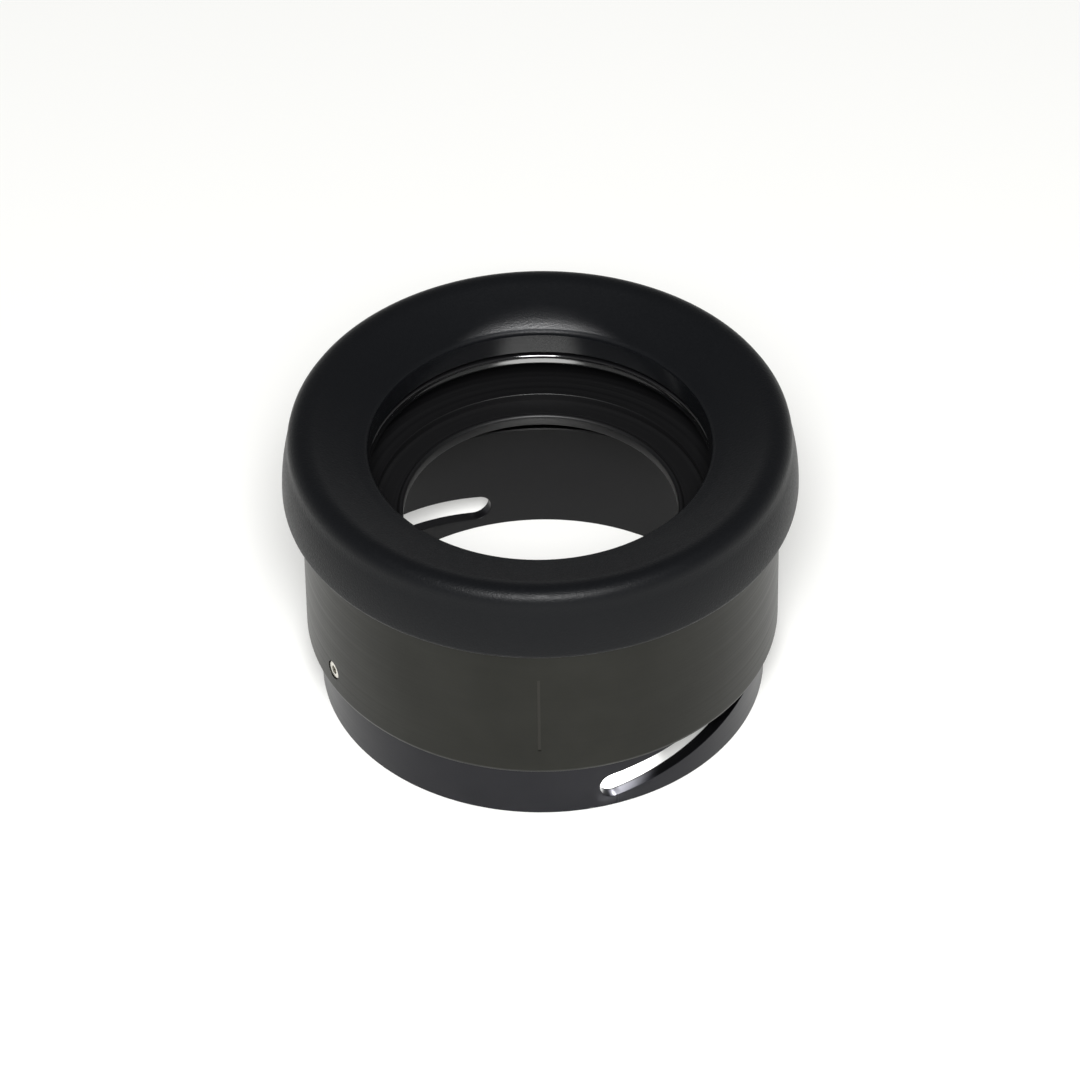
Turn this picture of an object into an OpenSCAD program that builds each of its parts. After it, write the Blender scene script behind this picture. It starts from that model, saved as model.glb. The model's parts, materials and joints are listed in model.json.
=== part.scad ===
// Twist-up eyecup for an eyepiece.
// A fixed helix tube pushes onto the eyepiece. An outer sleeve with a rubber eye ring rides on it:
// two guide screws run in two helical slots, so a part turn winds the cup up or down.
// Origin: centre of the helix tube's foot, +Z towards the eye. The cup is shown wound fully up.

/* [Helix tube] */
// Outer diameter of the fixed tube
tube_od = 45.4; // [36:0.1:56]
// Wall of the fixed tube
tube_wall = 1.2; // [1:0.1:1.6]
// Metal left above the upper end of a slot
tube_crown = 1.6; // [1.2:0.1:3]
// Metal left below the lower end of a slot
tube_foot = 1.3; // [1:0.1:3]
// Chamfer on the tube's edges
tube_chamfer = 0.25; // [0.1:0.05:0.4]

/* [Helical slots] */
// Width of a slot
slot_w = 3; // [2.5:0.1:3.6]
// Turn of the cup from fully up to fully down
twist_deg = 100; // [70:1:120]
// Drop of the cup from fully up to fully down
lift = 6.9; // [5:0.1:9]
// Bearing of the first slot's lower end
slot_low_deg = 108.5; // [90:0.5:130]
// Extra slot past each end of the travel
slot_overrun = 0.2; // [0.1:0.05:0.5]
// Width of the scribed line below one slot
witness_w = 0.35; // [0.2:0.05:0.5]
// Depth of the scribed line below one slot
witness_depth = 0.2; // [0.1:0.05:0.3]

/* [Outer sleeve] */
// Wall of the sleeve around its bore
sleeve_wall = 1.2; // [1.1:0.1:1.8]
// Height of the open cavity between the lock ring and the carrier
cavity_h = 3.55; // [3.2:0.05:8]
// Radial clearance between the tube and the sleeve's bore
bore_gap = 0.2; // [0.15:0.05:0.3]
// Height left under the sleeve when the cup is fully down
foot_gap = 0.1; // [0.05:0.05:0.5]
// Height of the chamfer on the sleeve's lower edge
skirt_chamfer_h = 1; // [0.5:0.1:1.5]
// Depth of the chamfer on the sleeve's lower edge
skirt_chamfer_w = 0.3; // [0.1:0.05:0.4]
// Metal left outside the seat of the baffle and the carrier
seat_wall = 0.8; // [0.7:0.05:1]
// Height of the index line's lower end above the sleeve's lower edge
index_from = 3; // [2.5:0.1:4]
// Length of the index line
index_len = 9.6; // [5:0.1:10]
// Width of the index line
index_w = 0.3; // [0.2:0.05:0.5]
// Depth of the index line
index_depth = 0.1; // [0.05:0.01:0.15]

/* [Guide screws] */
// Thread diameter of a guide screw
screw_d = 2; // [1.6:0.1:2.2]
// Width across the corners of the screw's hexagon socket
socket_d = 1; // [0.8:0.05:1.1]
// Depth of the screw's hexagon socket
socket_depth = 0.8; // [0.5:0.1:1]
// Depth of a screw's end below the sleeve's surface
screw_recess = 0.1; // [0.05:0.05:0.2]
// Radial clearance between a screw and its hole or bush
screw_gap = 0.02; // [0.01:0.01:0.05]
// Radial clearance between a bush and the slot
bush_gap = 0.05; // [0.03:0.01:0.1]
// Distance of a bush's inner end outside the tube's bore
bush_inset = 0.25; // [0.2:0.05:0.5]
// Clearance between a bush's outer end and the sleeve's bore
bush_end_gap = 0.02; // [0.01:0.01:0.1]

/* [Glide ring] */
// Radial thickness of the glide ring
glide_t = 0.65; // [0.5:0.05:0.7]
// Height of the glide ring
glide_h = 1; // [0.8:0.1:1.2]
// Clearance round the glide ring
glide_gap = 0.1; // [0.06:0.01:0.1]
// Metal between a bush and the glide ring's groove
glide_land = 0.25; // [0.2:0.05:0.6]

/* [Baffle] */
// Radial width of the baffle, from its rim to the sight hole
baffle_w = 9.35; // [9:0.05:13]
// Thickness of the baffle's rim
baffle_t = 0.9; // [0.6:0.1:1.2]
// Height of the raised lip round the sight hole
lip_h = 0.3; // [0.1:0.05:0.5]
// Width of the raised lip round the sight hole
lip_w = 0.6; // [0.4:0.1:1]
// Clearance above the tube when the cup is fully down
crown_gap = 0.25; // [0.2:0.05:1]
// Radial width of the lock ring
lock_w = 6.45; // [4:0.05:7]
// Thickness of the lock ring
lock_t = 0.8; // [0.6:0.1:1.2]
// Width of a spanner notch in the lock ring
notch_w = 1.6; // [1:0.1:2.5]
// Depth of a spanner notch in the lock ring
notch_depth = 0.9; // [0.5:0.1:1.5]
// Radial clearance of the rings in the sleeve's seat
seat_gap = 0.05; // [0.02:0.01:0.1]

/* [Carrier ring] */
// Distance that the carrier's lip stands back from the rubber's opening
carrier_back = 0.1; // [0:0.05:1]
// Thickness of the carrier's flange
carrier_t = 1.2; // [1:0.1:1.6]
// Depth of the carrier's threaded neck in the sleeve
neck_h = 2.6; // [1.5:0.1:3]
// Wall of the carrier's threaded neck
neck_wall = 0.95; // [0.7:0.05:1.5]
// Width of the lip that the rubber hooks over
hook_w = 0.8; // [0.5:0.05:1]

/* [Eye ring] */
// Thickness of the rubber outside the carrier's lip
skirt_wall = 1.05; // [0.9:0.05:3]
// Distance that the shoulder stands in from the widest part, at the lower edge
ring_flare = 0.8; // [0.5:0.05:1]
// Height of the rubber above the carrier
ring_crown = 5.6; // [4.6:0.1:8]
// Depth of the rubber's skirt below the carrier's top
ring_skirt = 2.4; // [2:0.1:3.5]
// Width of the top face, from the shoulder's side to the opening
ring_face_w = 8; // [6:0.1:9.6]
// Depth of the dished top face
dish_depth = 2.35; // [1:0.05:2.6]
// Radius of the shoulder
shoulder_r = 1.6; // [1:0.1:2]
// Radius of the skirt's lower edge
skirt_r = 0.7; // [0.3:0.05:0.8]
// Outward bulge of the side
side_bulge = 0.2; // [0:0.05:0.2]
// Height of the shadow groove above the carrier
groove_h = 0.5; // [0.3:0.05:0.8]
// Depth of the shadow groove above the carrier
groove_depth = 0.8; // [0.4:0.1:1.5]
// Radial clearance between the rubber and the metal that it wraps
rubber_gap = 0.05; // [0.03:0.01:0.1]

/* [Hidden] */
$fn = 128;

// Radii of the fixed tube and of the sleeve that rides on it
tube_r = tube_od / 2;
tube_ir = tube_r - tube_wall;
bore_r = tube_r + bore_gap;
sleeve_r = bore_r + sleeve_wall;
seat_r = sleeve_r - seat_wall;

// Rise of the slots, and the heights that follow from the travel
rise_per_deg = lift / twist_deg;
// Two slots and two guide screws, half a turn apart
slot_pitch = 180;
slot_low_z = tube_foot + slot_w / 2;
screw_z = slot_low_z + lift;
tube_h = screw_z + slot_w / 2 + tube_crown;
screw_deg = slot_low_deg + twist_deg;
overrun_deg = slot_overrun / (tube_r * PI / 180);

// Heights of the cup at rest, wound fully up
sleeve_z = foot_gap + lift;
ledge_z = tube_h + lift + crown_gap;
sleeve_top = ledge_z + baffle_t + lock_t + cavity_h;
carrier_top = sleeve_top + carrier_t;
ring_top = carrier_top + ring_crown;
ring_low = carrier_top - ring_skirt;

// Guide screws and their bushes, as distances from the axis
bush_r = slot_w / 2 - bush_gap;
bush_in = tube_ir + bush_inset;
bush_out = sqrt(pow(bore_r - bush_end_gap, 2) - pow(bush_r, 2));
screw_out = sleeve_r - screw_recess;

// Groove of the glide ring
glide_in = tube_r + glide_gap;
glide_out = glide_in + glide_t;
glide_groove_r = glide_out + glide_gap;
glide_groove_z = screw_z + bush_r + glide_land;

// Rings in the sleeve's seat, and the sight hole
seated_r = seat_r - seat_gap;
sight_r = seated_r - baffle_w;
lock_ir = seated_r - lock_w;

// Carrier's hooked lip, and the rubber round it
hook_r = sleeve_r + hook_w;
ring_low_r = hook_r + rubber_gap + skirt_wall;
ring_top_r = ring_low_r - ring_flare;
ring_open_r = ring_top_r - ring_face_w;
carrier_ir = ring_open_r + carrier_back;

// Cuts run this far past the faces that they leave
over = 1;
// Steps along a helical slot, and along a rounded edge
slot_steps = 40;
arc_steps = 8;

// Points on an arc about a centre, from angle a to angle b
function arc(centre, r, a, b) =
  [for (i = [0:arc_steps]) centre + r * [cos(a + (b - a) * i / arc_steps), sin(a + (b - a) * i / arc_steps)]];

// Points between two ends of a side, bowed sideways by bow at its middle, without the ends
function bowed(from, to, bow) =
  [for (i = [1:arc_steps - 1])
    let (k = i / arc_steps)
    from + (to - from) * k + [4 * bow * k * (1 - k), 0]];

// A point at radius r, bearing deg and height z
function on_axis(r, deg, z) = [r * cos(deg), r * sin(deg), z];

// Helix angle of the slot at the tube's middle radius, and the slot's half width seen along it
slot_mid_r = (tube_r + tube_ir) / 2;
slot_lean = atan(rise_per_deg * 180 / PI / slot_mid_r);
slot_half_z = slot_w / 2 * cos(slot_lean);
slot_half_deg = slot_w / 2 * sin(slot_lean) / slot_mid_r * 180 / PI;

// Four corners of the slot's section, square to the slot, deg along from its lower end
function slot_section(deg) =
  let (z = slot_low_z + deg * rise_per_deg, r_in = tube_ir - over, r_out = tube_r + over)
  [
    on_axis(r_in, slot_low_deg + deg + slot_half_deg, z - slot_half_z),
    on_axis(r_out, slot_low_deg + deg + slot_half_deg, z - slot_half_z),
    on_axis(r_out, slot_low_deg + deg - slot_half_deg, z + slot_half_z),
    on_axis(r_in, slot_low_deg + deg - slot_half_deg, z + slot_half_z)
  ];

// Places its children on a radial line at bearing deg and height z, pointing outwards from r
module on_radius(deg, r, z) {
  rotate([0, 0, deg])
    translate([r, 0, z])
      rotate([0, 90, 0])
        children();
}

// One helical slot: a swept channel with a round end at each end of the travel
module slot_cutter() {
  from_deg = -overrun_deg;
  to_deg = twist_deg + overrun_deg;
  sections = [for (i = [0:slot_steps]) slot_section(from_deg + (to_deg - from_deg) * i / slot_steps)];
  points = [for (s = sections) each s];
  sides = [for (i = [0:slot_steps - 1]) for (k = [0:3])
    let (a = 4 * i + k, b = 4 * i + (k + 1) % 4)
    each [[a, b, a + 4], [b, b + 4, a + 4]]];
  last = 4 * slot_steps;
  ends = [[2, 1, 0], [3, 2, 0], [last, last + 1, last + 2], [last, last + 2, last + 3]];
  polyhedron(points = points, faces = concat(sides, ends));
  for (deg = [from_deg, to_deg]) {
    on_radius(slot_low_deg + deg, tube_ir - over, slot_low_z + deg * rise_per_deg)
      cylinder(r = slot_w / 2, h = tube_wall + 2 * over);
  }
}

// Fixed tube that pushes onto the eyepiece, with the helical slots that the guide screws run in
module helix_tube() {
  c = tube_chamfer;
  color("#2b2b2d")
    difference() {
      rotate_extrude()
        polygon([
          [tube_ir + c, 0],
          [tube_r - c, 0],
          [tube_r, c],
          [tube_r, tube_h - c],
          [tube_r - c, tube_h],
          [tube_ir + c, tube_h],
          [tube_ir, tube_h - c],
          [tube_ir, c]
        ]);
      for (turn = [0, slot_pitch]) {
        rotate([0, 0, turn])
          slot_cutter();
      }
      rotate([0, 0, slot_low_deg + slot_pitch])
        translate([tube_r - witness_depth, -witness_w / 2, -over])
          cube([over, witness_w, slot_low_z + over]);
    }
}

// Outer sleeve of the cup: carries the guide screws, the glide ring, the baffle and the carrier
module outer_sleeve() {
  color("#3a3a39")
    difference() {
      rotate_extrude()
        polygon([
          [bore_r, sleeve_z],
          [sleeve_r - skirt_chamfer_w, sleeve_z],
          [sleeve_r, sleeve_z + skirt_chamfer_h],
          [sleeve_r, sleeve_top],
          [seat_r, sleeve_top],
          [seat_r, ledge_z],
          [bore_r, ledge_z],
          [bore_r, glide_groove_z + glide_h + glide_gap],
          [glide_groove_r, glide_groove_z + glide_h + glide_gap],
          [glide_groove_r, glide_groove_z],
          [bore_r, glide_groove_z]
        ]);
      for (turn = [0, slot_pitch]) {
        on_radius(screw_deg + turn, bore_r - over, screw_z)
          cylinder(r = screw_d / 2 + screw_gap, h = sleeve_wall + 2 * over);
      }
      rotate([0, 0, -90])
        translate([sleeve_r - index_depth, -index_w / 2, sleeve_z + index_from])
          cube([over, index_w, index_len]);
    }
}

// Slip ring in the sleeve's groove: it rises and falls with the cup without turning
module glide_ring() {
  color("#d8d6cc")
    translate([0, 0, glide_groove_z + glide_gap / 2])
      difference() {
        cylinder(r = glide_out, h = glide_h);
        translate([0, 0, -over])
          cylinder(r = glide_in, h = glide_h + 2 * over);
      }
}

// Set screw with a hexagon socket, screwed through the sleeve into a slot
module guide_screw(deg) {
  color("#c9c6bd")
    on_radius(deg, bush_in, screw_z)
      difference() {
        cylinder(r = screw_d / 2, h = screw_out - bush_in);
        translate([0, 0, screw_out - bush_in - socket_depth])
          cylinder(r = socket_d / 2, h = socket_depth + over, $fn = 6);
      }
}

// Nylon bush on a guide screw, which slides along the slot
module guide_bush(deg) {
  color("#e4e0d2")
    on_radius(deg, bush_in, screw_z)
      difference() {
        cylinder(r = bush_r, h = bush_out - bush_in);
        translate([0, 0, -over])
          cylinder(r = screw_d / 2 + screw_gap, h = bush_out - bush_in + 2 * over);
      }
}

module guide_screw_left() {
  guide_screw(screw_deg);
}

module guide_screw_right() {
  guide_screw(screw_deg + slot_pitch);
}

module guide_bush_left() {
  guide_bush(screw_deg);
}

module guide_bush_right() {
  guide_bush(screw_deg + slot_pitch);
}

// Stray-light baffle on the sleeve's ledge, with a rounded lip round the sight hole
module baffle_ring() {
  lip_top = ledge_z + baffle_t + lip_h;
  color("#1f2022")
    rotate_extrude()
      polygon(concat(
        [
          [sight_r, ledge_z],
          [seated_r, ledge_z],
          [seated_r, ledge_z + baffle_t],
          [lock_ir, ledge_z + baffle_t],
          [sight_r + 2 * lip_w, ledge_z + baffle_t - lip_h],
          [sight_r + lip_w, ledge_z + baffle_t - lip_h]
        ],
        arc([sight_r + lip_w / 2, lip_top - lip_w / 2], lip_w / 2, 0, 180)
      ));
}

// Threaded ring that locks the baffle, with two spanner notches
module baffle_lock_ring() {
  color("#191a1b")
    difference() {
      translate([0, 0, ledge_z + baffle_t])
        difference() {
          cylinder(r = seated_r, h = lock_t);
          translate([0, 0, -over])
            cylinder(r = lock_ir, h = lock_t + 2 * over);
        }
      for (deg = [0, 180]) {
        rotate([0, 0, deg])
          translate([lock_ir - over, -notch_w / 2, ledge_z + baffle_t - over])
            cube([over + notch_depth, notch_w, lock_t + 2 * over]);
      }
    }
}

// Flanged ring screwed into the sleeve's top: its outer lip holds the rubber
module carrier_ring() {
  edge = carrier_t / 4;
  color("#151617")
    rotate_extrude()
      polygon([
        [carrier_ir, sleeve_top + edge],
        [carrier_ir + edge, sleeve_top],
        [seated_r - neck_wall, sleeve_top],
        [seated_r - neck_wall, sleeve_top - neck_h],
        [seated_r, sleeve_top - neck_h],
        [seated_r, sleeve_top],
        [hook_r, sleeve_top],
        [hook_r, carrier_top],
        [carrier_ir + edge, carrier_top],
        [carrier_ir, carrier_top - edge]
      ]);
}

// Rubber eye ring: dished top, round shoulder, flared side and a skirt that hooks under the carrier
module eye_ring() {
  rim_z = ring_top - dish_depth;
  rim_r = dish_depth / 5;
  wrap_r = sleeve_r + rubber_gap;
  crest = [ring_top_r - shoulder_r, ring_top];
  rim = [ring_open_r + rim_r, rim_z];
  color("#1b1e24")
    rotate_extrude()
      polygon(concat(
        [
          [ring_open_r + groove_depth, carrier_top],
          [hook_r + rubber_gap, carrier_top],
          [hook_r + rubber_gap, sleeve_top - rubber_gap],
          [wrap_r, sleeve_top - rubber_gap],
          [wrap_r, ring_low]
        ],
        arc([ring_low_r - skirt_r, ring_low + skirt_r], skirt_r, -90, 0),
        bowed([ring_low_r, ring_low + skirt_r], [ring_top_r, ring_top - shoulder_r], side_bulge),
        arc([ring_top_r - shoulder_r, ring_top - shoulder_r], shoulder_r, 0, 90),
        bowed(crest, rim, side_bulge),
        arc([ring_open_r + rim_r, rim_z - rim_r], rim_r, 90, 180),
        [
          [ring_open_r, carrier_top + groove_h],
          [ring_open_r + groove_depth, carrier_top + groove_h]
        ]
      ));
}

helix_tube();
outer_sleeve();
glide_ring();
guide_screw_left();
guide_screw_right();
guide_bush_left();
guide_bush_right();
baffle_ring();
baffle_lock_ring();
carrier_ring();
eye_ring();
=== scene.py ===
"""Looks of a twist-up eyecup for an eyepiece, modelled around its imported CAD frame."""
import json
import math

import bmesh
import bpy
from mathutils import Matrix, Vector


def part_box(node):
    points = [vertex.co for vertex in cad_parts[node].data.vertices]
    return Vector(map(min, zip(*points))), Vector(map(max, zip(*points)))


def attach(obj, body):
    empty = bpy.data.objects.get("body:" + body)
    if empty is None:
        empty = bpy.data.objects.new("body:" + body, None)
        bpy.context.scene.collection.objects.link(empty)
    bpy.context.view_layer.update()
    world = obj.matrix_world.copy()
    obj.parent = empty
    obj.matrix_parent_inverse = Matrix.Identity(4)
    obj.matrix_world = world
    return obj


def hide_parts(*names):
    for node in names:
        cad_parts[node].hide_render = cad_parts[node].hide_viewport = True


bl_info = {
    "name": "Twist-up Eyecup",
    "version": (1, 0, 0),
    "blender": (4, 5, 0),
    "location": "View3D > Sidebar > Eyecup",
    "description": "Models the pieces and finishes of a twist-up eyecup around its CAD frame",
    "category": "Object",
}

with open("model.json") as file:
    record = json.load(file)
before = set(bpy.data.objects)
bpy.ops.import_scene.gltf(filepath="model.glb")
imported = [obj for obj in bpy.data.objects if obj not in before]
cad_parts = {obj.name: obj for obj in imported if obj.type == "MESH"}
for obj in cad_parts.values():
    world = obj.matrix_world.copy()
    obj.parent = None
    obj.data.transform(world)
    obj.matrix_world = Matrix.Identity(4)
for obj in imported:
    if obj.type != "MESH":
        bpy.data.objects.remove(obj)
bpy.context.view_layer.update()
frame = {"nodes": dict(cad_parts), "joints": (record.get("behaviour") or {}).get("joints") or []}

MM = 0.001
# Steps round a full turn of a turned piece, and points along a bowed side
TURN_STEPS = 240
BOW_STEPS = 10
# Steps across a rounding, across a slot's rounded edge and round a slot's two ends
ROUND_STEPS = 5
SLOT_EDGE_STEPS = 3
SLOT_END_STEPS = 48
# Faces that meet at more than this keep a sharp edge
SHARP = math.radians(32)
# Points nearer to one another than this are merged
MERGE = 0.001 * MM
# Points nearer than this to an end of a strip lie on it
NEAR_END = 0.01 * MM
# Points nearer than this to a cutting plane lie on it
NEAR_CUT = 1e-9
# Share of a width that two roundings take to make a half round: just short of half keeps them apart
HALF_ROUND = 1 / 2.001
# Cutters run this far past the faces that they cut
OVER = 1 * MM
# Depth of a tool line or of the etched tooth, as the surface shows it
LINE_DEPTH = 0.01 * MM
# Depth of the moulded grain
GRAIN_DEPTH = 0.05 * MM
# Width of the patches in which bloom on rubber, dye on metal and cloud in the floor vary
BLOOM_PATCH = 6 * MM
DYE_PATCH = 8 * MM
FLOOR_PATCH = 60 * MM
# Spacing of the etched tooth under the dye, drawn coarse enough to show
TOOTH = 0.18 * MM
# Spacing of the facing lines on steel, and width of the cloud in plastic
FACING_LINES = 0.15 * MM
PLASTIC_CLOUD = 1.2 * MM
# Refractive indices
RUBBER_IOR = 1.5
OXIDE_IOR = 1.76
PAINT_IOR = 1.38
NYLON_IOR = 1.53
# The camera's sensor in Blender's own millimetres, and the nearest and farthest that it sees
SENSOR_W = 36.0
SEEN_FROM = 10 * MM
SEEN_TO = 100.0


# ------------------------------------------------------------------ sizes and colours

def length(name, description, default_mm):
    """A length that the user can change, given in millimetres."""
    return bpy.props.FloatProperty(
        name=name, description=description, default=default_mm * MM, min=0.0,
        precision=5, unit="LENGTH", subtype="DISTANCE")


def angle(name, description, default_deg):
    """An angle that the user can change, given in degrees."""
    return bpy.props.FloatProperty(
        name=name, description=description, default=math.radians(default_deg), subtype="ANGLE")


def amount(name, description, default):
    """A plain number that the user can change."""
    return bpy.props.FloatProperty(name=name, description=description, default=default, min=0.0)


def linear(hex_colour):
    """Linear RGBA of an sRGB hex value."""
    channels = [int(hex_colour[i:i + 2], 16) / 255 for i in (1, 3, 5)]
    return [c / 12.92 if c <= 0.04045 else ((c + 0.055) / 1.055) ** 2.4 for c in channels] + [1.0]


def shade(name, description, hex_colour):
    """A colour that the user can change, given as an sRGB hex value."""
    return bpy.props.FloatVectorProperty(
        name=name, description=description, default=linear(hex_colour), size=4,
        min=0.0, max=1.0, subtype="COLOR")


class EyeRingSizes(bpy.types.PropertyGroup):
    """Sizes and colours of the rubber eye ring"""
    flare: length("Flare", "Distance that the shoulder stands in from the widest part", 0.8)
    bulge: length("Bulge", "Outward bow of the side and of the dished top", 0.2)
    face_w: length("Face width", "Width of the top face, from the side to the opening", 8.0)
    dish_depth: length("Dish depth", "Fall of the top face from its crest to the opening", 2.35)
    shoulder_round: length("Shoulder rounding", "Rounding of the outer shoulder", 1.6)
    rim_round: length("Rim rounding", "Rounding of the opening's edge", 0.47)
    skirt_round: length("Skirt rounding", "Rounding of the skirt's lower edge", 0.7)
    hem_round: length("Hem rounding", "Rounding of the edges next to the metal", 0.12)
    groove_h: length("Groove height", "Height of the shadow groove above the carrier", 0.5)
    groove_depth: length("Groove depth", "Depth of the shadow groove above the carrier", 0.8)
    gap: length("Fit gap", "Gap between the rubber and the metal that it wraps", 0.05)
    grain: length("Grain", "Size of the moulded grain", 0.22)
    polish: amount("Polish", "Roughness of the opening's smooth wall", 0.16)
    rubber: shade("Rubber", "Colour of the moulded rubber", "#0c0d0f")
    bloom: shade("Bloom", "Colour of the pale bloom on the rubber", "#101113")


class MetalSizes(bpy.types.PropertyGroup):
    """Sizes and colours of the turned metal pieces"""
    sleeve_wall: length("Sleeve wall", "Wall of the outer sleeve round its bore", 1.2)
    seat_wall: length("Seat wall", "Wall of the sleeve outside its seat", 0.8)
    tube_wall: length("Tube wall", "Wall of the helix tube", 1.2)
    tube_edge: length("Tube edge", "Chamfer on the tube's edges", 0.12)
    chamfer_h: length("Lower chamfer height", "Height of the sleeve's lower chamfer", 0.35)
    chamfer_w: length("Lower chamfer depth", "Depth of the sleeve's lower chamfer", 0.12)
    glide_gap: length("Glide gap", "Gap outside the glide ring, and over its height", 0.1)
    edge: length("Edge break", "Rounding of the turned edges", 0.1)
    lip_w: length("Lip width", "Width of the rounded lip round the sight hole", 0.6)
    lip_h: length("Lip height", "Height of the lip above the baffle's rim", 0.3)
    baffle_w: length("Baffle width", "Width of the baffle, from its rim to the sight hole", 9.35)
    lock_w: length("Lock ring width", "Width of the lock ring", 6.45)
    notch_w: length("Notch width", "Width of a spanner notch in the lock ring", 1.6)
    notch_depth: length("Notch depth", "Depth of a spanner notch in the lock ring", 0.9)
    carrier_t: length("Carrier thickness", "Thickness of the carrier's flange", 1.2)
    carrier_w: length("Carrier width", "Width of the carrier's flange", 7.6)
    neck_wall: length("Neck wall", "Wall of the carrier's neck", 0.95)
    index_w: length("Index width", "Width of the scribed index line", 0.3)
    index_side: length("Index side", "Distance of the index line to the left of the front", 0.5)
    index_h: length("Index length", "Length of the scribed index line", 9.6)
    index_from: length("Index height", "Height of the index line above the sleeve's foot", 3.0)
    index_depth: length("Index depth", "Depth of the scribed index line", 0.1)
    tool_lines: length("Tool lines", "Spacing of the tool lines, wide enough to show", 0.22)
    sleeve_rough: amount("Sleeve roughness", "Roughness of the anodised sleeve", 0.42)
    tube_rough: amount("Tube roughness", "Roughness of the anodised tube", 0.36)
    carrier_rough: amount("Carrier roughness", "Roughness of the glossy black carrier", 0.1)
    baffle_rough: amount("Baffle roughness", "Roughness of the baffle's matt black paint", 0.45)
    sleeve_black: shade("Sleeve", "Reflected colour of the anodised sleeve", "#32322f")
    tube_black: shade("Tube", "Reflected colour of the anodised tube", "#303033")
    bore_black: shade("Bore", "Colour of the matt paint in the tube's bore", "#121213")
    baffle_black: shade("Baffle", "Colour of the baffle's matt black paint", "#0e0e0f")
    carrier_black: shade("Carrier", "Colour of the glossy black carrier", "#0c0c0d")
    scribed: shade("Scribed line", "Colour of the scribed index line", "#3c3b38")


class GuideSizes(bpy.types.PropertyGroup):
    """Sizes and colours of the slots, guide screws, bushes and glide ring"""
    slot_w: length("Slot width", "Width of a helical slot", 3.0)
    slot_low_z: length("Slot height", "Height of the middle of a slot's lower end", 2.8)
    slot_edge: length("Slot edge", "Rounding of a slot's edges", 0.07)
    overrun: length("Slot overrun", "Extra slot past each end of the travel", 0.2)
    screw_d: length("Screw diameter", "Diameter of a guide screw", 2.0)
    screw_gap: length("Screw clearance", "Clearance round a guide screw", 0.02)
    screw_edge: length("Screw edge", "Chamfer round a guide screw's end", 0.18)
    socket_d: length("Socket", "Width of the screw's hexagon socket across its corners", 1.0)
    socket_depth: length("Socket depth", "Depth of the screw's hexagon socket", 0.8)
    witness_w: length("Witness width", "Width of the scribed line below one slot", 0.25)
    witness_depth: length("Witness depth", "Depth of the scribed line below one slot", 0.08)
    screw_sunk: length("Screw depth", "Depth of a screw's end below the sleeve's surface", 0.1)
    clear_in: length("Inner clearance", "Gap between a screw's inner end and the tube's bore", 0.25)
    clear_out: length("Bush clearance", "Gap between a bush's end and the sleeve's bore", 0.05)
    bush_edge: length("Bush edge", "Rounding of a bush's edges", 0.12)
    steel: shade("Screw steel", "Colour of the steel screws", "#d8d5cc")
    nylon: shade("Nylon", "Colour of the nylon bushes", "#d9d3c2")
    ptfe: shade("Glide ring", "Colour of the white glide ring", "#dedbd2")


class StageSizes(bpy.types.PropertyGroup):
    """The floor, the lights and the camera"""
    elevation: angle("Elevation", "Height of the camera above the floor, as an angle", 42.0)
    roll: angle("Roll", "Turn of the camera about its line of sight", -0.9)
    distance: length("Distance", "Distance from the camera to the point that it looks at", 660.0)
    aim_x: length("Aim side", "Sideways place of the point that the camera looks at", -0.13)
    aim_z: length("Aim height", "Height of the point that the camera looks at", 16.55)
    view_w: length("View width", "Width of the view at the point that the camera looks at", 109.6)
    floor_w: length("Floor width", "Width of the floor", 8000.0)
    floor: shade("Floor", "Colour of the floor", "#c8c8c6")
    glow: amount("Floor glow", "Light that comes up through the opal floor", 0.55)
    horizon: amount("Horizon light", "Light from low down all round", 0.8)
    overhead: amount("Overhead light", "Light from the dim room overhead", 0.12)
    fade: amount("Horizon fade", "Sine of the height at which the low light has faded", 0.55)
    key: amount("Key light", "Power of the softbox at the front, in watts", 11.0)
    key_w: length("Key width", "Width of the softbox at the front", 240.0)
    key_rise: angle("Key height", "Height of the softbox above the floor, as an angle", 48.0)
    pin: amount("Pin spot", "Power of the narrow spot through the opening, in watts", 270.0)
    pin_w: length("Pin spot width", "Width of the narrow spot's patch on the floor", 24.0)
    pin_aim: length("Pin spot aim", "Distance of the lit patch in front of the axis", 13.98)
    pin_blend: amount("Pin spot blend", "Soft share of the narrow spot's patch", 0.6)
    pin_soft: length("Pin spot softness", "Radius of the narrow spot's source", 1.0)
    light_far: length("Light distance", "Distance from the lights to the part", 800.0)


GROUPS = {"eyecup_ring": EyeRingSizes, "eyecup_metal": MetalSizes,
          "eyecup_guides": GuideSizes, "eyecup_stage": StageSizes}


# ------------------------------------------------------------------ materials

def new_material(name):
    """A node material, and its Principled shader."""
    material = bpy.data.materials.new(name)
    material.use_nodes = True
    return material, material.node_tree.nodes["Principled BSDF"]


def wire(tree, node, inputs):
    """Links or sets a node's inputs, which are named, or numbered as _0, _1 and so on."""
    for name, value in inputs.items():
        socket = node.inputs[int(name[1:]) if name[0] == "_" else name.replace("_", " ")]
        if isinstance(value, bpy.types.NodeSocket):
            tree.links.new(value, socket)
        else:
            socket.default_value = value


def add_node(tree, kind, settings=None, out=0, **inputs):
    """Adds a node with its settings and inputs, and returns one of its outputs."""
    node = tree.nodes.new(kind)
    for name, value in (settings or {}).items():
        setattr(node, name, value)
    wire(tree, node, inputs)
    return node.outputs[out]


def from_axis(tree, place):
    """Distance of a point from the Z axis."""
    flat = add_node(tree, "ShaderNodeVectorMath", {"operation": "MULTIPLY"}, _0=place, _1=(1, 1, 0))
    return add_node(tree, "ShaderNodeVectorMath", {"operation": "LENGTH"}, out="Value", _0=flat)


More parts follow.
